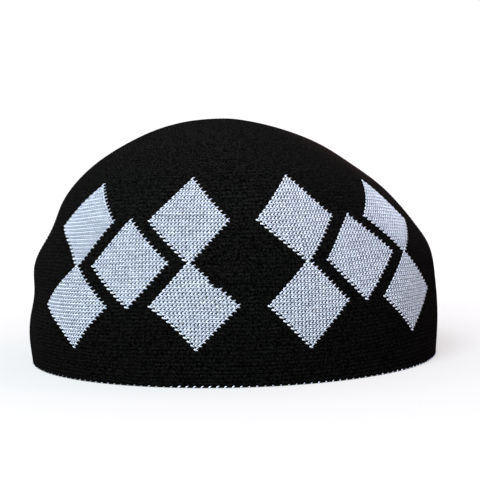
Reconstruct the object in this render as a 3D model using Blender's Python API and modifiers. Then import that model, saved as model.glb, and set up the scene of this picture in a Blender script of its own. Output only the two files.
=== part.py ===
"""A knitted prayer cap: one hollow dome of cloth that rests on its open rim.

Metres, +Z up. The origin is the middle of the cap's outer box, on the surface that it rests on.
The front of the cap faces -Y, and its left side, as seen from the front, is at -X.
"""
from math import asin, atan2, radians

import bmesh
import bpy
import numpy as np

MM = 0.001

# The cloth. The crown leans to the left, and the shift brings the cap's box over the origin.
WALL = 2.4 * MM
CROWN_COURSE = 105
CROWN_LEAN = -5 * MM
CENTRE_SHIFT = 1.1 * MM

# How fine the solid is, how far it runs on below the rim before it is trimmed, and the cutter
COLUMNS_AROUND = 84
RINGS_UP = 25
TRIM_COURSES = 1.5
CUTTER_SIDE = 0.3

# The cap's three upright sections, at knitted courses counted from the rim to the crown.
# A reach is the distance out from the middle, a height is above the rim, both in millimetres.
# The back repeats the front.
SECTION_COLUMNS = ("course", "left_reach", "left_height", "right_reach", "right_height",
                   "front_reach", "front_height")
SECTIONS = (
    (0, 94, 0, 92, 0, 86.5, 0),
    (10, 95.5, 13.5, 93, 16, 89, 14.5),
    (21, 96.5, 29.5, 92.5, 32, 90.5, 30.5),
    (32, 93, 45, 90.5, 47.5, 90, 46.5),
    (43, 88, 60.5, 83.5, 59.5, 86, 62.5),
    (54, 75.5, 75.5, 72, 73.5, 76.5, 78.5),
    (66, 61, 89, 58.5, 85, 61.5, 91),
    (78, 42, 100, 43.5, 95.5, 44, 100.5),
    (91, 22, 107, 22.5, 104, 23, 106.5),
    (CROWN_COURSE, 0, 109, 0, 109, 0, 109),
)

# Soft dents pressed into the side: middle course, courses to where it has faded, the direction
# it faces in degrees from the front towards the right, degrees to where it has faded, depth in mm.
DENT_COLUMNS = ("course", "courses_tall", "facing", "degrees_wide", "depth")
DENTS = (
    (42.5, 8, -88, 38, 6),
    (22, 8, -88, 38, 4.5),
)


def smooth_through(at, knots, values):
    """A smooth curve through the values at the knots, with each slope set by the neighbours."""
    slopes = np.gradient(values, knots)
    i = np.clip(np.searchsorted(knots, at, side="right") - 1, 0, len(knots) - 2)
    gap = knots[i + 1] - knots[i]
    f = (at - knots[i]) / gap
    return ((1 + 2 * f) * (1 - f) ** 2 * values[i] + f * (1 - f) ** 2 * gap * slopes[i]
            + f ** 2 * (3 - 2 * f) * values[i + 1] + f ** 2 * (f - 1) * gap * slopes[i + 1])


def section(column, course):
    """One named column of the sections at any course, in metres.

    The curve runs on over the crown and down the other side, so it is level there.
    """
    table = np.array(SECTIONS, float)
    knots, values = table[:, 0], table[:, SECTION_COLUMNS.index(column)]
    other_side = -1 if column.endswith("reach") else 1
    knots = np.append(knots, 2 * CROWN_COURSE - knots[-2])
    values = np.append(values, other_side * values[-2])
    return smooth_through(course, knots, values) * MM


def dented(turn, course):
    """How far in the dents press the cloth at this direction and course, in metres."""
    press = np.zeros_like(turn)
    for row in DENTS:
        dent = dict(zip(DENT_COLUMNS, row))
        up = (course - dent["course"]) / dent["courses_tall"]
        aside = np.angle(np.exp(1j * (turn - radians(dent["facing"])))) / radians(dent["degrees_wide"])
        press += dent["depth"] * MM * np.exp(-up ** 2 - aside ** 2)
    return press


def cap_surface(turn, course):
    """The outer face: between the side and the front sections the outline is part of an ellipse."""
    across, ahead = np.sin(turn), np.cos(turn)
    on_left = across < 0
    side = np.where(on_left, section("left_reach", course), section("right_reach", course))
    side_up = np.where(on_left, section("left_height", course), section("right_height", course))
    x = side * across
    y = -section("front_reach", course) * ahead
    z = side_up * across ** 2 + section("front_height", course) * ahead ** 2
    inward = 1 - dented(turn, course) / np.maximum(np.hypot(x, y), MM)
    lean = CROWN_LEAN * (course / CROWN_COURSE) ** 2
    return x * inward + lean + CENTRE_SHIFT, y * inward, z


def material(name, colour, roughness):
    made = bpy.data.materials.new(name)
    made.diffuse_color = (*colour, 1)
    made.use_nodes = True
    shader = made.node_tree.nodes["Principled BSDF"]
    shader.inputs["Base Color"].default_value = (*colour, 1)
    shader.inputs["Roughness"].default_value = roughness
    shader.inputs["Metallic"].default_value = 0
    return made


def collection(name):
    made = bpy.data.collections.new(name)
    bpy.context.scene.collection.children.link(made)
    return made


def rise_of(vert):
    """How far up a ball of radius 1 a point is: 0 at the middle, 1 at the top."""
    return asin(np.clip(vert.co.z, -1, 1)) / radians(90)


def open_dome():
    """A ball's upper half, with one ring more below for trimming, drawn out to the cap's shape."""
    shape = bmesh.new()
    bmesh.ops.create_uvsphere(shape, u_segments=COLUMNS_AROUND, v_segments=2 * RINGS_UP, radius=1)
    ring_step = 1 / RINGS_UP
    unwanted = [v for v in shape.verts if rise_of(v) < -1.5 * ring_step]
    bmesh.ops.delete(shape, geom=unwanted, context="VERTS")
    turn = np.array([atan2(v.co.x, -v.co.y) for v in shape.verts])
    rise = np.array([rise_of(v) for v in shape.verts])
    course = np.where(rise < -0.5 * ring_step, -TRIM_COURSES, rise * CROWN_COURSE)
    x, y, z = cap_surface(turn, course)
    for vert, place in zip(shape.verts, zip(x, y, z)):
        vert.co = place
    mesh = bpy.data.meshes.new("cap_body")
    shape.to_mesh(mesh)
    shape.free()
    return mesh


def thicken(cap):
    wall = cap.modifiers.new("knit_wall", "SOLIDIFY")
    wall.thickness = WALL
    wall.offset = -1
    wall.use_even_offset = True
    wall.use_quality_normals = True


def block_below(collection_for_it):
    """A block whose top is the plane that the cap rests on."""
    block = bmesh.new()
    bmesh.ops.create_cube(block, size=CUTTER_SIDE)
    bmesh.ops.translate(block, verts=block.verts, vec=(0, 0, -CUTTER_SIDE / 2))
    mesh = bpy.data.meshes.new("floor_cutter")
    block.to_mesh(mesh)
    block.free()
    cutter = bpy.data.objects.new("floor_cutter", mesh)
    cutter.hide_render = True
    cutter.display_type = "WIRE"
    collection_for_it.objects.link(cutter)
    return cutter


def trim_flat(cap, cutter):
    """Everything below the resting plane is cut away, which leaves a flat ring at the rim."""
    trim = cap.modifiers.new("flat_rim", "BOOLEAN")
    trim.operation = "DIFFERENCE"
    trim.solver = "EXACT"
    trim.object = cutter


for old in list(bpy.data.objects):
    bpy.data.objects.remove(old, do_unlink=True)

cap_parts = collection("prayer_cap")

mesh = open_dome()
mesh.materials.append(material("black_knit", (0.012, 0.011, 0.012), 0.9))
mesh.shade_smooth()
cap = bpy.data.objects.new("cap_body", mesh)
cap_parts.objects.link(cap)
thicken(cap)
trim_flat(cap, block_below(collection("cutters")))
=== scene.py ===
from math import pi, radians

import bpy
import numpy as np
from mathutils import Matrix, Vector


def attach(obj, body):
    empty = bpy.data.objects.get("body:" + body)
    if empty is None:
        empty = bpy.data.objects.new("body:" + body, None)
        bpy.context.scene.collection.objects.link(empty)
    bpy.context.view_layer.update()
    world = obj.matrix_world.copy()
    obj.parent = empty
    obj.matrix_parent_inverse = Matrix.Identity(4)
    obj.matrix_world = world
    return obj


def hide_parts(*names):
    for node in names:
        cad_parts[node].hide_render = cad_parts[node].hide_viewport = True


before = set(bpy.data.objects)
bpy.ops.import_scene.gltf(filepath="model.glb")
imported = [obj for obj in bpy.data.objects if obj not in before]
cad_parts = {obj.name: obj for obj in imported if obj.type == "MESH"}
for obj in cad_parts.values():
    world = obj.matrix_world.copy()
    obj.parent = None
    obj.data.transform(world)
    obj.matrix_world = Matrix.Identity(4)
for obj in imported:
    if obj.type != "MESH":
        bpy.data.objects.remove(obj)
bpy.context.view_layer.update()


# The lower side. Black yarn in plain stitches, 384 to a round, knitted sideways, so each V lies on
# its side. The cloth is soft: it stands on its rim by its own stiffness, with two shallow dents
# pressed into its left side, and it is drawn a little out of true where it was last held.

MM = 0.001
WALL = 2.4 * MM
CROWN_COURSE = 105
CROWN_LEAN = -5 * MM
CENTRE_SHIFT = 1.1 * MM

# The cap's three upright sections, at courses counted up from the rim. A reach is the distance out
# from the middle, a height is above the rim, both in millimetres. The back repeats the front.
SECTION_COLUMNS = ("course", "left_reach", "left_height", "right_reach", "right_height",
                   "front_reach", "front_height")
SECTIONS = (
    (0, 94, 0, 92, 0, 86.5, 0),
    (10, 95.5, 13.5, 93, 16, 89, 14.5),
    (21, 96.5, 29.5, 92.5, 32, 90.5, 30.5),
    (32, 93, 45, 90.5, 47.5, 90, 46.5),
    (43, 88, 60.5, 83.5, 59.5, 86, 62.5),
    (54, 75.5, 75.5, 72, 73.5, 76.5, 78.5),
    (66, 61, 89, 58.5, 85, 61.5, 91),
    (78, 42, 100, 43.5, 95.5, 44, 100.5),
    (91, 22, 107, 22.5, 104, 23, 106.5),
    (CROWN_COURSE, 0, 109, 0, 109, 0, 109),
)

# The dents: the middle course, courses to where each has mostly faded, the direction it faces in
# degrees from the front towards the right, degrees to where it has mostly faded, and its depth in
# millimetres.
DENT_COLUMNS = ("course", "courses_tall", "facing", "degrees_wide", "depth")
DENTS = (
    (42.5, 8, -88, 38, 6),
    (22, 8, -88, 38, 4.5),
)


def smooth_through(at, knots, values):
    """A smooth curve through the values at the knots, with each slope set by the neighbours."""
    slopes = np.gradient(values, knots)
    i = np.clip(np.searchsorted(knots, at, side="right") - 1, 0, len(knots) - 2)
    gap = knots[i + 1] - knots[i]
    f = (at - knots[i]) / gap
    return ((1 + 2 * f) * (1 - f) ** 2 * values[i] + f * (1 - f) ** 2 * gap * slopes[i]
            + f ** 2 * (3 - 2 * f) * values[i + 1] + f ** 2 * (f - 1) * gap * slopes[i + 1])


def section(column, course):
    """One named column of the sections at any course, in metres, level at the crown's middle."""
    table = np.array(SECTIONS, float)
    knots, values = table[:, 0], table[:, SECTION_COLUMNS.index(column)]
    other_side = -1 if column.endswith("reach") else 1
    knots = np.append(knots, 2 * CROWN_COURSE - knots[-2])
    values = np.append(values, other_side * values[-2])
    return smooth_through(course, knots, values) * MM


def dented(turn, course):
    """How far in the dents press the cloth: each is a bell curve, both ways, of its own depth."""
    press = np.zeros_like(turn)
    for row in DENTS:
        dent = dict(zip(DENT_COLUMNS, row))
        up = (course - dent["course"]) / dent["courses_tall"]
        aside = np.angle(np.exp(1j * (turn - radians(dent["facing"]))))
        aside = aside / radians(dent["degrees_wide"])
        press += dent["depth"] * MM * np.exp(-up ** 2 - aside ** 2)
    return press


def cap_surface(turn, course):
    """The outer face: each ring is four quarter ellipses, and its height blends the side's and the
    front's by the squares of the turn's sine and cosine."""
    across, ahead = np.sin(turn), np.cos(turn)
    on_left = across < 0
    side = np.where(on_left, section("left_reach", course), section("right_reach", course))
    side_up = np.where(on_left, section("left_height", course), section("right_height", course))
    x = side * across
    y = -section("front_reach", course) * ahead
    z = side_up * across ** 2 + section("front_height", course) * ahead ** 2
    inward = 1 - dented(turn, course) / np.maximum(np.hypot(x, y), MM)
    lean = CROWN_LEAN * (course / CROWN_COURSE) ** 2
    return np.stack((x * inward + lean + CENTRE_SHIFT, y * inward, z), axis=-1)


def facing_out(turn, course):
    """The direction square to the cloth: the cross product of its slopes round and up."""
    turn_step, course_step = 0.002, 0.05
    course = np.minimum(course, CROWN_COURSE - 2 * course_step)
    round_it = cap_surface(turn + turn_step, course) - cap_surface(turn - turn_step, course)
    up_it = cap_surface(turn, course + course_step) - cap_surface(turn, course - course_step)
    out = np.cross(round_it, up_it)
    return out / np.linalg.norm(out, axis=-1, keepdims=True)


WALES = 384
WALE_AT_FRONT = 45.1
EVEN_COURSE = 10
DEGREES_EACH_WAY = 540
DEGREES_ROUND = 360


def turn_of(wale):
    """The direction that a wale faces: the wales are evenly spaced along one low course, so the
    distance walked along it from the front gives the turn."""
    turns = np.radians(np.arange(-DEGREES_EACH_WAY, DEGREES_EACH_WAY + 1))
    ring = cap_surface(turns, np.full_like(turns, EVEN_COURSE))
    along = np.append(0, np.cumsum(np.linalg.norm(np.diff(ring, axis=0), axis=1)))
    along -= along[DEGREES_EACH_WAY]
    once_round = along[DEGREES_EACH_WAY + DEGREES_ROUND]
    return np.interp((wale - WALE_AT_FRONT) / WALES * once_round, along, turns)


# The pulls: the wale and the course of each one's middle, how many stitches it moves the cloth aside
# and up, and how far it spreads against a common pull. The floor holds the first courses level.
PULL_WALES, PULL_COURSES = 13, 11
COURSES_HELD_LEVEL = 8
PULL_COLUMNS = ("wale", "course", "aside", "up", "spread")
PULLS = (
    (-8, 46, -2, -1, 1),
    (-11, 43, 0.25, 0.75, 1),
    (-6, 20, -3, -0.25, 1),
    (-5.5, 37, 1.8, 0, 0.5),
    (-5.5, 15, 1.6, 0, 0.5),
    (6, 30, 1, -0.35, 1),
    (12, 43, -0.25, 0.25, 1),
    (28, 15, 2, 0.5, 1),
    (34, 54, -0.25, -0.75, 1),
    (47, 43, -0.75, -0.5, 1),
    (50, 20, 0.75, 0, 1),
    (64, 52, 0.25, -0.25, 1),
    (66, 32, 0.5, -0.5, 1),
    (75, 43, -1, 0.5, 1),
    (75, 20, -0.75, 0, 1),
    (88, 32, -0.75, 0.75, 1),
    (98, 52, 1.75, 1, 1),
    (91, 36, 0.6, 0.1, 0.5),
    (94, 20, 0.7, -0.4, 1),
    (98, 10, 0.3, 0.9, 1),
)


def cloth_at(wale, course):
    """The turn and the course where a stitch lies: each pull moves those near it, on a bell curve,
    and what moves it up or down fades to nothing at the rim."""
    aside, up = np.zeros_like(wale), np.zeros_like(wale)
    for row in PULLS:
        pull = dict(zip(PULL_COLUMNS, row))
        near = np.exp(-(((wale - pull["wale"]) / PULL_WALES) ** 2
                        + ((course - pull["course"]) / PULL_COURSES) ** 2) / pull["spread"] ** 2)
        aside += pull["aside"] * near
        up += pull["up"] * near
    free = np.clip(course / COURSES_HELD_LEVEL, 0, 1)
    return turn_of(wale + aside), np.maximum(course + up * free, 0)


# The pattern. Each group has a pair of stacked diamonds, a middle diamond and another pair. Two
# groups stand side by side in front, two more at the back, and the sides between them are plain.
GROUPS = (0, 64, 192, 256)
NECK_COURSE = 32
DIAMOND = 11
STACKED = ((0, 11), (0, -11), (34, 11), (34, -11))
MIDDLE = ((17, 0),)


def inside_diamonds(wale, course, margin):
    """1 inside a diamond, 0 outside, with a ramp one stitch wide that starts at the margin outside
    the diamond's edge: the distance from its middle is wales plus courses."""
    inside = np.zeros_like(wale)
    for group in GROUPS:
        for centre, above_neck in STACKED + MIDDLE:
            off = (wale - group - centre + WALES / 2) % WALES - WALES / 2
            distance = np.abs(off) + np.abs(course - NECK_COURSE - above_neck)
            inside = np.maximum(inside, np.clip(DIAMOND + margin - distance, 0, 1))
    return inside


RELIEF_LIFT = 0.3 * MM
RIDGE = 0.34 * MM
ROW_VALLEY = 0.2 * MM
STITCH_DIP = 0.14 * MM
SUNK_UNDER_WHITE = 0.34 * MM
SUNK_MARGIN = 0.6
SHOWS_THROUGH_MARGIN = -0.4
ARM_REACH = 0.7


def knit_height(wale, course):
    """The plain knit's relief, knitted sideways: a V's two arms are two ridges in each level row,
    with a deeper valley between the rows, and a dip where one V meets the next along the row."""
    return (RIDGE * (-0.5 - 0.5 * np.cos(4 * pi * course))
            - ROW_VALLEY * (0.5 - 0.5 * np.cos(2 * pi * course))
            - STITCH_DIP * (0.5 - 0.5 * np.cos(2 * pi * wale))) + RELIEF_LIFT


def arm_reach(course):
    """How far a V's arms have run along the row, in stitches: it grows away from the V's middle."""
    return ARM_REACH * np.abs(course - np.round(course))


def knit_mesh(name, points, triangles, stitches, flat=None):
    """A mesh from whole arrays: its stitch map gives the wale and the course at every corner, and
    flat says which triangles aren't shaded smooth."""
    mesh = bpy.data.meshes.new(name)
    mesh.vertices.add(len(points))
    mesh.vertices.foreach_set("co", points.astype(np.float32).ravel())
    mesh.loops.add(triangles.size)
    mesh.loops.foreach_set("vertex_index", triangles.astype(np.int32).ravel())
    mesh.polygons.add(len(triangles))
    mesh.polygons.foreach_set("loop_start", np.arange(0, triangles.size, 3, dtype=np.int32))
    mesh.update(calc_edges=True)
    mesh.shade_smooth()
    if flat is not None:
        mesh.polygons.foreach_set("use_smooth", ~flat)
    layer = mesh.uv_layers.new(name="stitches")
    layer.data.foreach_set("uv", stitches.astype(np.float32).ravel())
    mesh.validate()
    piece = bpy.data.objects.new(name, mesh)
    bpy.context.scene.collection.objects.link(piece)
    return piece


def grid_triangles(corners):
    """Two triangles for each square of a grid of point numbers, wound to face outwards."""
    a, b, c, d = corners[:-1, :-1], corners[:-1, 1:], corners[1:, 1:], corners[1:, :-1]
    return np.concatenate((np.stack((a, b, c), -1).reshape(-1, 3),
                           np.stack((a, c, d), -1).reshape(-1, 3)))


COLUMNS_PER_WALE = 2
ROWS_PER_COURSE = 4
FIRST_WALE = -142.5
SIDES_MEET = 27


def edge_triangles(rim, lining):
    """The edge between the two faces: each step along the outer ring meets the nearest inner point,
    and each step along the inner ring meets the outer point at its middle."""
    middle = COLUMNS_PER_WALE // 2
    nearest = (np.arange(len(rim) - 1) + middle) // COLUMNS_PER_WALE
    return np.concatenate((np.stack((rim[:-1], lining[nearest], rim[1:]), -1),
                           np.stack((lining[:-1], lining[1:], rim[middle::COLUMNS_PER_WALE]), -1)))


def knitted_band(name, first_course, last_course):
    """A closed ring of the black knit: an outer face in relief, a plain inner face, two edges."""
    wale = FIRST_WALE + np.arange(WALES * COLUMNS_PER_WALE) / COLUMNS_PER_WALE
    rows = np.arange(first_course * ROWS_PER_COURSE, last_course * ROWS_PER_COURSE + 1)
    wale, course = np.meshgrid(wale, rows / ROWS_PER_COURSE)
    turn, level = cloth_at(wale + arm_reach(course), course)
    height = knit_height(wale, course)
    height -= SUNK_UNDER_WHITE * inside_diamonds(wale, course, SUNK_MARGIN)
    outer = cap_surface(turn, level) + facing_out(turn, level) * height[..., None]
    outer[course == 0, 2] = 0

    inner_wale, inner_course = np.meshgrid(
        FIRST_WALE + np.arange(WALES), np.arange(first_course, last_course + 1).astype(float))
    turn, level = cloth_at(inner_wale, inner_course)
    inner = cap_surface(turn, level) - facing_out(turn, level) * WALL
    inner[inner_course == 0, 2] = 0

    outer_numbers = np.arange(outer[..., 0].size).reshape(outer.shape[:2])
    inner_numbers = outer_numbers.size + np.arange(inner[..., 0].size).reshape(inner.shape[:2])
    outer_numbers = np.hstack((outer_numbers, outer_numbers[:, :1]))
    inner_numbers = np.hstack((inner_numbers, inner_numbers[:, :1]))
    faces = [grid_triangles(outer_numbers), grid_triangles(inner_numbers)[:, ::-1]]
    edges = [edge_triangles(outer_numbers[0], inner_numbers[0]),
             edge_triangles(outer_numbers[-1], inner_numbers[-1])[:, ::-1]]
    triangles = np.concatenate(faces + edges)
    flat = np.arange(len(triangles)) >= sum(len(part) for part in faces)
    points = np.concatenate((outer.reshape(-1, 3), inner.reshape(-1, 3)))

    place = np.concatenate((np.stack((wale, course), -1).reshape(-1, 2),
                            np.stack((inner_wale, inner_course), -1).reshape(-1, 2)))[triangles]
    wraps = np.ptp(place[..., 0], axis=1) > WALES / 2
    place[..., 0] += np.where(wraps[:, None] & (place[..., 0] < FIRST_WALE + WALES / 2), WALES, 0)
    piece = knit_mesh(name, points, triangles, place, flat)
    pale = np.append(inside_diamonds(wale, course, SHOWS_THROUGH_MARGIN).ravel(),
                     np.zeros(inner_wale.size))
    under_white = piece.data.attributes.new("under_white", "FLOAT", "POINT")
    under_white.data.foreach_set("value", pale.astype(np.float32))
    return piece


def set_sockets(node, values):
    """Sets a node's own sockets by their names."""
    for socket, value in values.items():
        node.inputs[socket].default_value = value


BARE_YARN = (0.0005, 0.0005, 0.0005, 1)
LINTY_YARN = (0.0068, 0.0066, 0.0065, 1)
PAINTED_SHADOW_BETWEEN_ROWS = (0, 0, 0, 1)
PAINTED_SHEEN_ON_TOP = (0.02, 0.019, 0.017, 1)
PAINTED_WARM_SHEEN = (0.021, 0.0155, 0.0125, 1)
WHITE_BEHIND = (0.1, 0.11, 0.13, 1)
RIGHT_SHOULDER = (0.054, 0.008, 0.092)
SHEEN_CORE, SHEEN_EDGE = 0.01, 0.062
TWIST_LEAN, TWIST_ALONG, TWIST_DEPTH = -5, 3, 0.35
MIX_FACTOR, MIX_FIRST, MIX_SECOND, MIX_RESULT = 0, 6, 7, 2


def black_knit_yarn():
    """Matt black yarn: a fine twist along each arm of the V, lint, painted shadow between the rows,
    a painted sheen high on the crown and a faint painted warm sheen on its right shoulder, and white
    yarn showing through under the diamonds."""
    made = bpy.data.materials.new("black_knit_yarn")
    made.use_nodes = True
    nodes, join = made.node_tree.nodes, made.node_tree.links.new
    shader = nodes["Principled BSDF"]
    set_sockets(shader, {"Roughness": 0.9, "Specular IOR Level": 0, "Sheen Weight": 0.006,
                         "Sheen Roughness": 0.4, "Sheen Tint": (1, 0.88, 0.75, 1)})

    place = nodes.new("ShaderNodeTexCoord")
    lint = nodes.new("ShaderNodeTexNoise")
    set_sockets(lint, {"Scale": 1300, "Detail": 2})
    join(place.outputs["Object"], lint.inputs["Vector"])
    colour = nodes.new("ShaderNodeValToRGB")
    bare, linty = colour.color_ramp.elements
    bare.position, linty.position = 0.38, 0.7
    bare.color, linty.color = BARE_YARN, LINTY_YARN
    join(lint.outputs["Fac"], colour.inputs["Fac"])

    stitch = nodes.new("ShaderNodeUVMap")
    stitch.uv_map = "stitches"
    parts = nodes.new("ShaderNodeSeparateXYZ")
    join(stitch.outputs["UV"], parts.inputs["Vector"])

    def arithmetic(kind, first, second=None):
        """A Math node of this kind on one or two values, each a number or another node's output."""
        node = nodes.new("ShaderNodeMath")
        node.operation = kind
        for socket, value in zip(node.inputs, (first, second)):
            if isinstance(value, (int, float)):
                socket.default_value = value
            elif value is not None:
                join(value, socket)
        return node.outputs["Value"]

    def rising(value, from_here, to_here, least, most):
        """A smooth step from least to most while the value goes from here to there."""
        node = nodes.new("ShaderNodeMapRange")
        node.interpolation_type = "SMOOTHSTEP"
        set_sockets(node, {"From Min": from_here, "From Max": to_here,
                           "To Min": least, "To Max": most})
        join(value, node.inputs["Value"])
        return node.outputs["Result"]

    def blended(amount, first, second):
        """The first colour, and as much of the second over it as the amount says."""
        node = nodes.new("ShaderNodeMix")
        node.data_type = "RGBA"
        for number, value in ((MIX_FACTOR, amount), (MIX_FIRST, first), (MIX_SECOND, second)):
            if isinstance(value, tuple):
                node.inputs[number].default_value = value
            else:
                join(value, node.inputs[number])
        return node.outputs[MIX_RESULT]

    from_middle = arithmetic("PINGPONG", parts.outputs["Y"], 0.5)
    spot = nodes.new("ShaderNodeSeparateXYZ")
    join(place.outputs["Object"], spot.inputs["Vector"])
    # Painted shadow: the yarn is darkened towards the edges of each row, in the valleys where the
    # rows meet.
    yarn = blended(rising(from_middle, 0.3, 0.5, 0, 0.6), colour.outputs["Color"], PAINTED_SHADOW_BETWEEN_ROWS)
    # Painted sheen: the yarn is made a little lighter high on the crown, where light from above
    # catches it.
    yarn = blended(rising(spot.outputs["Z"], 0.07, 0.1, 0, 0.01), yarn, PAINTED_SHEEN_ON_TOP)
    # Painted warm sheen: a soft brown lightening on the crown's right shoulder, broken up by noise,
    # stands in for warm light grazing the yarn there.
    shoulder = nodes.new("ShaderNodeVectorMath")
    shoulder.operation = "DISTANCE"
    shoulder.inputs[1].default_value = RIGHT_SHOULDER
    join(place.outputs["Object"], shoulder.inputs[0])
    sheen_breakup = nodes.new("ShaderNodeTexNoise")
    set_sockets(sheen_breakup, {"Scale": 70, "Detail": 4})
    join(place.outputs["Object"], sheen_breakup.inputs["Vector"])
    painted_sheen = arithmetic("MULTIPLY",
                       rising(shoulder.outputs["Value"], SHEEN_CORE, SHEEN_EDGE, 1, 0),
                       rising(sheen_breakup.outputs["Fac"], 0.2, 0.8, 0.4, 1))
    yarn = blended(painted_sheen, yarn, PAINTED_WARM_SHEEN)
    under = nodes.new("ShaderNodeAttribute")
    under.attribute_name = "under_white"
    yarn = blended(under.outputs["Fac"], yarn, WHITE_BEHIND)
    join(yarn, shader.inputs["Base Color"])

    lean = arithmetic("MULTIPLY", from_middle, TWIST_LEAN)
    along = arithmetic("MULTIPLY", parts.outputs["X"], TWIST_ALONG)
    twist = arithmetic("SINE", arithmetic("MULTIPLY", arithmetic("ADD", lean, along), 2 * pi))
    fibres = arithmetic("ADD", arithmetic("MULTIPLY", twist, TWIST_DEPTH), lint.outputs["Fac"])
    bump = nodes.new("ShaderNodeBump")
    set_sockets(bump, {"Strength": 0.5, "Distance": 0.1 * MM})
    join(fibres, bump.inputs["Height"])
    join(bump.outputs["Normal"], shader.inputs["Normal"])
    return made


black_yarn = black_knit_yarn()

lower_side = knitted_band("black_knit_lower_side", 0, SIDES_MEET)
lower_side.data.materials.append(black_yarn)
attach(lower_side, "root")
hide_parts("cap_body")


# The upper side. The same black knit runs on to the top of the pattern, where the crown starts,
# and the cloth turns over from the side to the crown.

CROWN_FIRST = 54

upper_side = knitted_band("black_knit_upper_side", SIDES_MEET, CROWN_FIRST)
upper_side.data.materials.append(black_yarn)
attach(upper_side, "root")
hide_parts("cap_body")


# The crown. The same yarn, shaped by taking stitches away along six lines, one stitch at each side
# of a line about every second round, until the last stitches are drawn together in the middle.

CROWN_ROUNDS = 57
WEDGES = 6
WEDGE_WALES = WALES // WEDGES
WEDGE_MIDDLE = FIRST_WALE + WEDGE_WALES / 2
LAST_STITCHES = 2
FLATTER_ROUNDS = 8
INNER_ROUND_STEP = 2


def crown_points(rounds, columns_per_wale):
    """The points of the crown's grid, and the number of the point at each of its crossings.

    A wedge keeps its middle wales and loses its outer ones, so a column past the edge of the wedge
    is moved in to the edge, and crossings that fall in one place share one point.
    """
    wide = WEDGE_WALES * columns_per_wale
    this_round, wedge, column = np.meshgrid(rounds, np.arange(WEDGES), np.arange(wide + 1),
                                            indexing="ij")
    left = WEDGE_WALES + (LAST_STITCHES - WEDGE_WALES) * np.floor(this_round) / (CROWN_ROUNDS - 1)
    half_left = np.clip(np.round(left / 2), LAST_STITCHES / 2, WEDGE_WALES / 2)
    edge = half_left.astype(int) * columns_per_wale
    from_middle = np.clip(column - wide // 2, -edge, edge)
    # Crossings with one key share a point: those on a line between two wedges, and all at the pole.
    between = WEDGES + wedge * (wide + 1) + from_middle + wide // 2
    on_next_line = np.where(from_middle == edge, (wedge + 1) % WEDGES, between)
    key = np.where(from_middle == -edge, wedge, on_next_line)
    ring = np.round(this_round * ROWS_PER_COURSE).astype(int)
    key = np.where(this_round >= CROWN_ROUNDS, 0, key) + ring * (wide + 2) * (WEDGES + 1)
    _, first, numbers = np.unique(key.ravel(), return_index=True, return_inverse=True)
    this_round, wedge, edge, from_middle = (
        part.ravel()[first].astype(float) for part in (this_round, wedge, edge, from_middle))
    stitch = from_middle / columns_per_wale + 0.5
    stitch_wide = WEDGE_WALES * columns_per_wale / (2 * edge)
    wale = WEDGE_MIDDLE + WEDGE_WALES * (wedge + from_middle / (2 * edge))
    return numbers.reshape(key.shape), wale, stitch, this_round, stitch_wide


def crown_triangles(numbers):
    """The crown's grid as triangles, without the ones that the taken-away stitches leave empty."""
    triangles = np.concatenate([grid_triangles(numbers[:, wedge]) for wedge in range(WEDGES)])
    a, b, c = triangles.T
    return triangles[(a != b) & (b != c) & (c != a)]


def knitted_crown(name):
    """The closed crown: an outer face in relief, which is flatter near the middle, a plain inner
    face, and the edge that joins them."""
    course_tall = (CROWN_COURSE - CROWN_FIRST) / CROWN_ROUNDS
    outer_rounds = np.arange(CROWN_ROUNDS * ROWS_PER_COURSE + 1) / ROWS_PER_COURSE
    numbers, wale, stitch, this_round, stitch_wide = crown_points(outer_rounds, COLUMNS_PER_WALE)
    relief = np.clip((CROWN_ROUNDS - this_round) / FLATTER_ROUNDS, 0, 1)
    course = CROWN_FIRST + this_round * course_tall
    turn, level = cloth_at(wale + arm_reach(this_round) * stitch_wide * relief, course)
    height = knit_height(stitch, this_round) * relief
    height -= SUNK_UNDER_WHITE * inside_diamonds(wale, course, SUNK_MARGIN)
    outer = cap_surface(turn, level) + facing_out(turn, level) * height[:, None]

    inner_rounds = np.arange(0, CROWN_ROUNDS - 1, INNER_ROUND_STEP)
    inner_rounds = np.append(inner_rounds, CROWN_ROUNDS).astype(float)
    inner_numbers, inner_wale, inner_stitch, inner_round, _ = crown_points(inner_rounds, 1)
    turn, level = cloth_at(inner_wale, CROWN_FIRST + inner_round * course_tall)
    inner = cap_surface(turn, level) - facing_out(turn, level) * WALL
    inner_numbers = inner_numbers + len(outer)

    faces = [crown_triangles(numbers), crown_triangles(inner_numbers)[:, ::-1]]
    rim = np.append(numbers[0, :, :-1].ravel(), numbers[0, 0, 0])
    lining = np.append(inner_numbers[0, :, :-1].ravel(), inner_numbers[0, 0, 0])
    triangles = np.concatenate(faces + [edge_triangles(rim, lining)])
    flat = np.arange(len(triangles)) >= sum(len(part) for part in faces)
    place = np.concatenate((np.stack((stitch, this_round), -1),
                            np.stack((inner_stitch, inner_round), -1)))[triangles]
    return knit_mesh(name, np.concatenate((outer, inner)), triangles, place, flat)


crown = knitted_crown("black_knit_crown")
crown.data.materials.append(black_yarn)
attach(crown, "root")
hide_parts("cap_body")


# The upper stacked diamonds. Each white stitch is a V of two yarn arms that lies on its side, fat
# where the arms meet on the left and thin on the right, where they pass behind the next stitch. The
# black yarn that is carried behind shows as dark dots between the arms.

# The V's two arms, in stitches: where each starts and ends along the row, how far above the row's
# middle it is there, half its width, and how proud it stands, as a share of the yarn's half height.
ARM_COLUMNS = ("starts", "start_rise", "ends", "end_rise", "half_wide", "proud")
ARMS = (
    (-0.36, 0.04, 0.68, 0.52, 0.2, 0.9),
    (-0.54, -0.1, 0.58, -0.5, 0.23, 1.1),
)
ARM_PROUD = 0.26 * MM
ARM_LIFT = 0.2 * MM
ARM_TUCK = 0.06 * MM
SIDES = 4
RING_ALONG = np.array([0.06, 0.26, 0.54, 0.82])
RING_WIDE = np.array([0.75, 1, 0.9, 0.65])
yarn_chance = np.random.default_rng(11)


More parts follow.
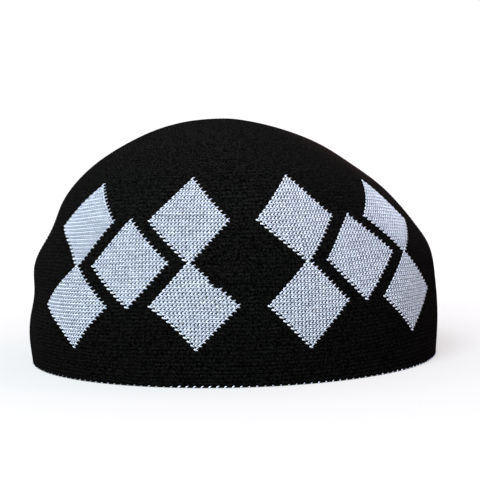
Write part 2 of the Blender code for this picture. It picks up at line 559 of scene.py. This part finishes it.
def arm_shape():
    """One arm as (along, aside, up): rings of four along it, fat near its start, and closed tips."""
    turns = np.arange(SIDES) * 2 * pi / SIDES
    along, angle = np.meshgrid(RING_ALONG, turns, indexing="ij")
    wide = np.repeat(RING_WIDE[:, None], SIDES, axis=1)
    rings = np.stack((along, wide * np.cos(angle), wide * np.sin(angle)), -1).reshape(-1, 3)
    points = np.concatenate(([[0, 0, 0]], rings, [[1, 0, 0]]))
    numbers = 1 + np.arange(len(rings)).reshape(-1, SIDES)
    numbers = np.hstack((numbers, numbers[:, :1]))
    first, last = numbers[0], numbers[-1]
    start = np.stack((np.zeros(SIDES, int), first[1:], first[:-1]), -1)
    end = np.stack((np.full(SIDES, len(points) - 1), last[:-1], last[1:]), -1)
    return points, np.concatenate((start, grid_triangles(numbers), end))


def arms_on_cloth(name, wale, course, which, size, long, proud, shade):
    """Many arms as one mesh. An arm runs along the row from its start to its end, rises or falls
    evenly on the way, and its width lies square to that line. which picks its row of sizes."""
    shape, shape_triangles = arm_shape()
    along, aside, up = shape.T[:, None]
    arm = dict(zip(ARM_COLUMNS, np.array(ARMS)[which].T[:, :, None]))
    size, long = size[:, None], long[:, None]
    reach = (arm["ends"] - arm["starts"]) * long
    forward = arm["starts"] * long + reach * along
    climb = arm["end_rise"] - arm["start_rise"]
    rise = arm["start_rise"] + climb * along
    lean = np.arctan2(climb, reach)
    at_wale = wale[:, None] + size * (forward - arm["half_wide"] * aside * np.sin(lean))
    at_course = course[:, None] + size * (rise + arm["half_wide"] * aside * np.cos(lean))
    turn, level = cloth_at(at_wale, at_course)
    height = ARM_LIFT - ARM_TUCK * along ** 2 + proud[:, None] * arm["proud"] * up
    points = cap_surface(turn, level) + facing_out(turn, level) * height[..., None]
    points[..., 2] = np.maximum(points[..., 2], 0)
    first_point = len(shape) * np.arange(len(wale))[:, None, None]
    triangles = (shape_triangles[None] + first_point).reshape(-1, 3)
    stitches = np.tile(shape[:, :2], (len(wale), 1))[triangles]
    piece = knit_mesh(name, points.reshape(-1, 3), triangles, stitches)
    tone = piece.data.attributes.new("yarn_tone", "FLOAT", "POINT")
    tone.data.foreach_set("value", np.repeat(shade, len(shape)).astype(np.float32))
    return piece


# In one front group two stitches were missed, the row beside them is pulled tight, and a row of the
# diamond above is loose. Courses are counted from the neck.
MISSED = ((39, -5), (40, -6))
TIGHT_COURSE, TIGHT_AFTER, TIGHT_BEFORE = -5, 32, 39
LOOSE_COURSE, LOOSE_MIDDLE, LOOSE_REACH = 12, 32, 8

# How an arm departs from the plain one, in size, length, place and tone, by chance or because its
# stitch is loose, tight or bare.
CHANCE = {"aside": 0.03, "size": 0.05, "long": 0.05, "proud": 0.1, "tone": 0.12}
ROW_CHANCE_LONG = 0.04
LOOSE_SIZE, TIGHT_SIZE, TIGHT_TONE = -0.14, 0.08, 0.2
BEHIND_LONG, BEHIND_ASIDE = -0.25, 0.24
IN_FRONT_SIZE, IN_FRONT_LONG, IN_FRONT_ASIDE, IN_FRONT_TONE = 0.06, 0.08, -0.08, 0.2
PLAIN_TONE, SECOND_ARM_TONE, MOST_TONE = 0.6, 0.06, 1.1


def white_stitches(centres):
    """The wale and the course of every white stitch of these diamonds, in all the groups, and 1 or 0
    for whether it lies on its diamond's lower left edge, where its start is bare."""
    off, above = np.meshgrid(np.arange(-DIAMOND, DIAMOND + 1), np.arange(-DIAMOND, DIAMOND + 1))
    white = np.abs(off) + np.abs(above) <= DIAMOND
    bare = (np.abs(off) + np.abs(above) == DIAMOND) & (off <= 0) & (above <= 0)
    groups = np.array(GROUPS)[:, None]
    places = [np.broadcast_arrays(groups + centre + off[white], level + above[white], bare[white])
              for centre, level in centres]
    return np.concatenate([np.stack(place, -1) for place in places]).reshape(-1, 3)


def white_knit(name, centres):
    """The white arms of these diamonds, each a little different in size, height and tone."""
    wale, course, bare = white_stitches(centres).T
    missed = np.any([(wale == at_wale) & (course == at_course)
                     for at_wale, at_course in MISSED], axis=0)
    wale, course, bare = (np.repeat(column[~missed], 2).astype(float)
                          for column in (wale, course, bare))
    which = np.arange(len(wale)) % 2
    loose = (course == LOOSE_COURSE) & (np.abs(wale - LOOSE_MIDDLE) < LOOSE_REACH)
    tight = (course == TIGHT_COURSE) & (wale > TIGHT_AFTER) & (wale < TIGHT_BEFORE)
    behind, in_front = bare * (which == 0), bare * (which == 1)
    draws = yarn_chance.standard_normal((len(CHANCE), len(wale)))
    vary = {what: most * draw for (what, most), draw in zip(CHANCE.items(), draws)}
    tension = yarn_chance.standard_normal(CROWN_COURSE)[(course + NECK_COURSE).astype(int)]
    wale = wale + vary["aside"] + BEHIND_ASIDE * behind + IN_FRONT_ASIDE * in_front
    size = 1 + LOOSE_SIZE * loose + TIGHT_SIZE * tight + IN_FRONT_SIZE * in_front + vary["size"]
    long = (1 + vary["long"] + ROW_CHANCE_LONG * tension + BEHIND_LONG * behind
            + IN_FRONT_LONG * in_front)
    proud = ARM_PROUD * (1 + vary["proud"])
    tone = (PLAIN_TONE + SECOND_ARM_TONE * which + TIGHT_TONE * tight + IN_FRONT_TONE * in_front
            + vary["tone"])
    return arms_on_cloth(name, wale, course + NECK_COURSE, which, size, long, proud,
                         np.clip(tone, 0, MOST_TONE))


def white_knit_yarn(name, dull, bright):
    """Soft white yarn with a lilac cast: plies wound round the arm, a tone to each arm, and a
    painted shade that makes it duller towards the arm's thin end, where it passes behind the next
    stitch."""
    made = bpy.data.materials.new(name)
    made.use_nodes = True
    nodes, join = made.node_tree.nodes, made.node_tree.links.new
    shader = nodes["Principled BSDF"]
    set_sockets(shader, {"Roughness": 0.8, "Specular IOR Level": 0.3, "Sheen Weight": 0.15,
                         "Sheen Roughness": 0.5})
    tone = nodes.new("ShaderNodeAttribute")
    tone.attribute_name = "yarn_tone"
    colour = nodes.new("ShaderNodeValToRGB")
    for stop, shade in zip(colour.color_ramp.elements, (dull, bright)):
        stop.color = (*shade, 1)
    arm_map = nodes.new("ShaderNodeUVMap")
    arm_map.uv_map = "stitches"
    along = nodes.new("ShaderNodeSeparateXYZ")
    join(arm_map.outputs["UV"], along.inputs["Vector"])
    # Painted shade: each arm is made duller towards its thin end, where it tucks behind the next
    # stitch.
    painted_shade_along_arm = nodes.new("ShaderNodeMapRange")
    set_sockets(painted_shade_along_arm, {"From Min": 0.2, "From Max": 0.6, "To Min": 0, "To Max": 0.5})
    join(along.outputs["X"], painted_shade_along_arm.inputs["Value"])
    left = nodes.new("ShaderNodeMath")
    left.operation = "SUBTRACT"
    join(tone.outputs["Fac"], left.inputs[0])
    join(painted_shade_along_arm.outputs["Result"], left.inputs[1])
    join(left.outputs["Value"], colour.inputs["Fac"])
    join(colour.outputs["Color"], shader.inputs["Base Color"])
    plies = nodes.new("ShaderNodeTexWave")
    plies.bands_direction = "DIAGONAL"
    set_sockets(plies, {"Scale": 1.6, "Distortion": 1.5})
    join(arm_map.outputs["UV"], plies.inputs["Vector"])
    bump = nodes.new("ShaderNodeBump")
    set_sockets(bump, {"Strength": 0.4, "Distance": 0.1 * MM})
    join(plies.outputs["Fac"], bump.inputs["Height"])
    join(bump.outputs["Normal"], shader.inputs["Normal"])
    return made


WHITE_DULL, WHITE_BRIGHT = (0.275, 0.305, 0.375), (0.585, 0.62, 0.69)
white_yarn = white_knit_yarn("white_knit_yarn", WHITE_DULL, WHITE_BRIGHT)

upper_diamonds = white_knit("white_upper_diamonds", STACKED[::2])
upper_diamonds.data.materials.append(white_yarn)
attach(upper_diamonds, "root")
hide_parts("cap_body")


# The lower stacked diamonds. The same white yarn, point to point with the upper ones. In a front
# group two stitches at the edge of one diamond were missed, which leaves a small notch.

lower_diamonds = white_knit("white_lower_diamonds", STACKED[1::2])
lower_diamonds.data.materials.append(white_yarn)
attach(lower_diamonds, "root")
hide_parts("cap_body")


# The middle diamonds. The same white yarn, one diamond in each group, between its two stacked pairs
# and level with the necks where the stacked diamonds meet.

middle = white_knit("white_middle_diamonds", MIDDLE)
middle.data.materials.append(white_yarn)
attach(middle, "root")
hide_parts("cap_body")


# The rim. The white yarn is carried along inside the first course and peeps out below it at every
# second stitch, more at the front than elsewhere.

PEEP_EVERY = 2
PEEP_LONG = 0.7
PEEP_WIDE = 0.9
PEEP_PROUD = 0.38 * MM
PEEP_COURSE = 0.1
PEEP_TONE = 0.35
MOST_AT, MOST_REACH = 37, 13
MOST_SIZE, MOST_CHANCE = 0.9, 0.3
LEAST_SIZE, LEAST_CHANCE = 0.55, 0.25
RIM_DULL, RIM_BRIGHT = (0.06, 0.065, 0.08), (0.62, 0.67, 0.78)

peep_wale = FIRST_WALE + 0.5 + PEEP_EVERY * np.arange(WALES // PEEP_EVERY)
peep_chance = yarn_chance.uniform(0, 1, len(peep_wale))
at_front = np.exp(-((peep_wale - MOST_AT) / MOST_REACH) ** 4)
peep_size = np.maximum(at_front * (MOST_SIZE + MOST_CHANCE * peep_chance),
                       LEAST_SIZE + LEAST_CHANCE * peep_chance)
peeps = arms_on_cloth("white_rim_stitches", peep_wale, np.full_like(peep_wale, PEEP_COURSE),
                      np.zeros(len(peep_wale), int), PEEP_WIDE * peep_size,
                      np.full_like(peep_wale, PEEP_LONG), PEEP_PROUD * peep_size,
                      peep_size + PEEP_TONE)
peeps.data.materials.append(white_knit_yarn("white_rim_yarn", RIM_DULL, RIM_BRIGHT))
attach(peeps, "root")
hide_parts("cap_body")


# The studio. A pale floor that runs out of sight, a white surround behind and overhead, one broad
# light in front, above and a little to the left, and a weak rosy one at the upper right. The camera
# is low and close in front.

FLOOR_REACH = 6
FLOOR_BELOW_RIM = 0.1 * MM
GLOW_RISES_FROM, GLOW_RISES_TO = 0.1, 0.7


def pale_floor(name, colour, near_glow, far_glow):
    """A matt floor that glows evenly near the cap and more farther out, in a straight line with the
    distance, so that it stays white and the cap throws only a soft shade on it."""
    made = bpy.data.materials.new(name)
    made.use_nodes = True
    shader = made.node_tree.nodes["Principled BSDF"]
    set_sockets(shader, {"Base Color": (*colour, 1), "Roughness": 0.9, "Specular IOR Level": 0,
                         "Emission Color": (1, 1, 1, 1)})
    nodes, join = made.node_tree.nodes, made.node_tree.links.new
    place = nodes.new("ShaderNodeTexCoord")
    away = nodes.new("ShaderNodeVectorMath")
    away.operation = "LENGTH"
    rise = nodes.new("ShaderNodeMapRange")
    set_sockets(rise, {"From Min": GLOW_RISES_FROM, "From Max": GLOW_RISES_TO,
                       "To Min": near_glow, "To Max": far_glow})
    join(place.outputs["Object"], away.inputs[0])
    join(away.outputs["Value"], rise.inputs["Value"])
    join(rise.outputs["Result"], shader.inputs["Emission Strength"])
    return made


floor_corners = [(FLOOR_REACH * across, FLOOR_REACH * ahead, 0)
                 for across, ahead in ((-1, -1), (1, -1), (1, 1), (-1, 1))]
floor_mesh = bpy.data.meshes.new("floor")
floor_mesh.from_pydata(floor_corners, [], [(0, 1, 2, 3)])
floor = bpy.data.objects.new("floor", floor_mesh)
floor.location.z = -FLOOR_BELOW_RIM
bpy.context.scene.collection.objects.link(floor)
floor_mesh.materials.append(
    pale_floor("floor_white", (0.17, 0.17, 0.17), near_glow=0.55, far_glow=1))

world = bpy.data.worlds.new("studio_white")
world.use_nodes = True
surround, join = world.node_tree.nodes["Background"], world.node_tree.links.new
surround.inputs["Color"].default_value = (1, 0.95, 0.98, 1)
heading = world.node_tree.nodes.new("ShaderNodeTexCoord")


def glow_towards(direction, from_here, to_here, least, most):
    """How strong the surround is: it rises from least to most as a direction nears the given one,
    while the cosine between the two goes from here to there."""
    near = world.node_tree.nodes.new("ShaderNodeVectorMath")
    near.operation = "DOT_PRODUCT"
    near.inputs[1].default_value = direction
    rise = world.node_tree.nodes.new("ShaderNodeMapRange")
    set_sockets(rise, {"From Min": from_here, "From Max": to_here, "To Min": least, "To Max": most})
    join(heading.outputs["Generated"], near.inputs[0])
    join(near.outputs["Value"], rise.inputs["Value"])
    return rise.outputs["Result"]


brighter = world.node_tree.nodes.new("ShaderNodeMath")
brighter.operation = "MAXIMUM"
behind_cap = glow_towards((0, 1, 0), from_here=0.72, to_here=0.87, least=0, most=1.08)
overhead = glow_towards((-0.22, -0.1, 0.97), from_here=0.1, to_here=0.9, least=0.15, most=1.2)
join(behind_cap, brighter.inputs[0])
join(overhead, brighter.inputs[1])
join(brighter.outputs["Value"], surround.inputs["Strength"])
bpy.context.scene.world = world
bpy.context.scene.view_settings.view_transform = "Standard"


def studio_light(name, place, towards, side, power, colour):
    """A square area light of this side and power, turned to face the given point."""
    lamp = bpy.data.lights.new(name, "AREA")
    lamp.shape = "SQUARE"
    lamp.size = side
    lamp.energy = power
    lamp.color = colour
    made = bpy.data.objects.new(name, lamp)
    made.location = place
    aim = Vector(towards) - Vector(place)
    made.rotation_euler = aim.to_track_quat("-Z", "Y").to_euler()
    bpy.context.scene.collection.objects.link(made)


studio_light("broad_light", place=(-0.36, -0.95, 1.05), towards=(0, 0, 0.06), side=0.7, power=45,
             colour=(0.83, 0.95, 1))
studio_light("rosy_light", place=(0.8, 0, 1), towards=(0, 0, 0.08), side=0.5, power=5,
             colour=(1, 0.25, 0.4))

CAMERA_AWAY = 0.380
CAMERA_HIGH = 0.060
CAMERA_TIP = 0.0318
CAMERA_ROLL = -0.0239
CAMERA_LENS = 57.86
CAMERA_SHIFT = 0.012
CAMERA_NEAREST = 0.01

view = bpy.data.cameras.new("camera")
view.sensor_width = 36
view.lens = CAMERA_LENS
view.shift_x = CAMERA_SHIFT
view.clip_start = CAMERA_NEAREST
camera = bpy.data.objects.new("camera", view)
camera.matrix_world = (Matrix.Translation((CENTRE_SHIFT, -CAMERA_AWAY, CAMERA_HIGH))
                       @ Matrix.Rotation(pi / 2 - CAMERA_TIP, 4, "X")
                       @ Matrix.Rotation(CAMERA_ROLL, 4, "Z"))
bpy.context.scene.collection.objects.link(camera)
bpy.context.scene.camera = camera
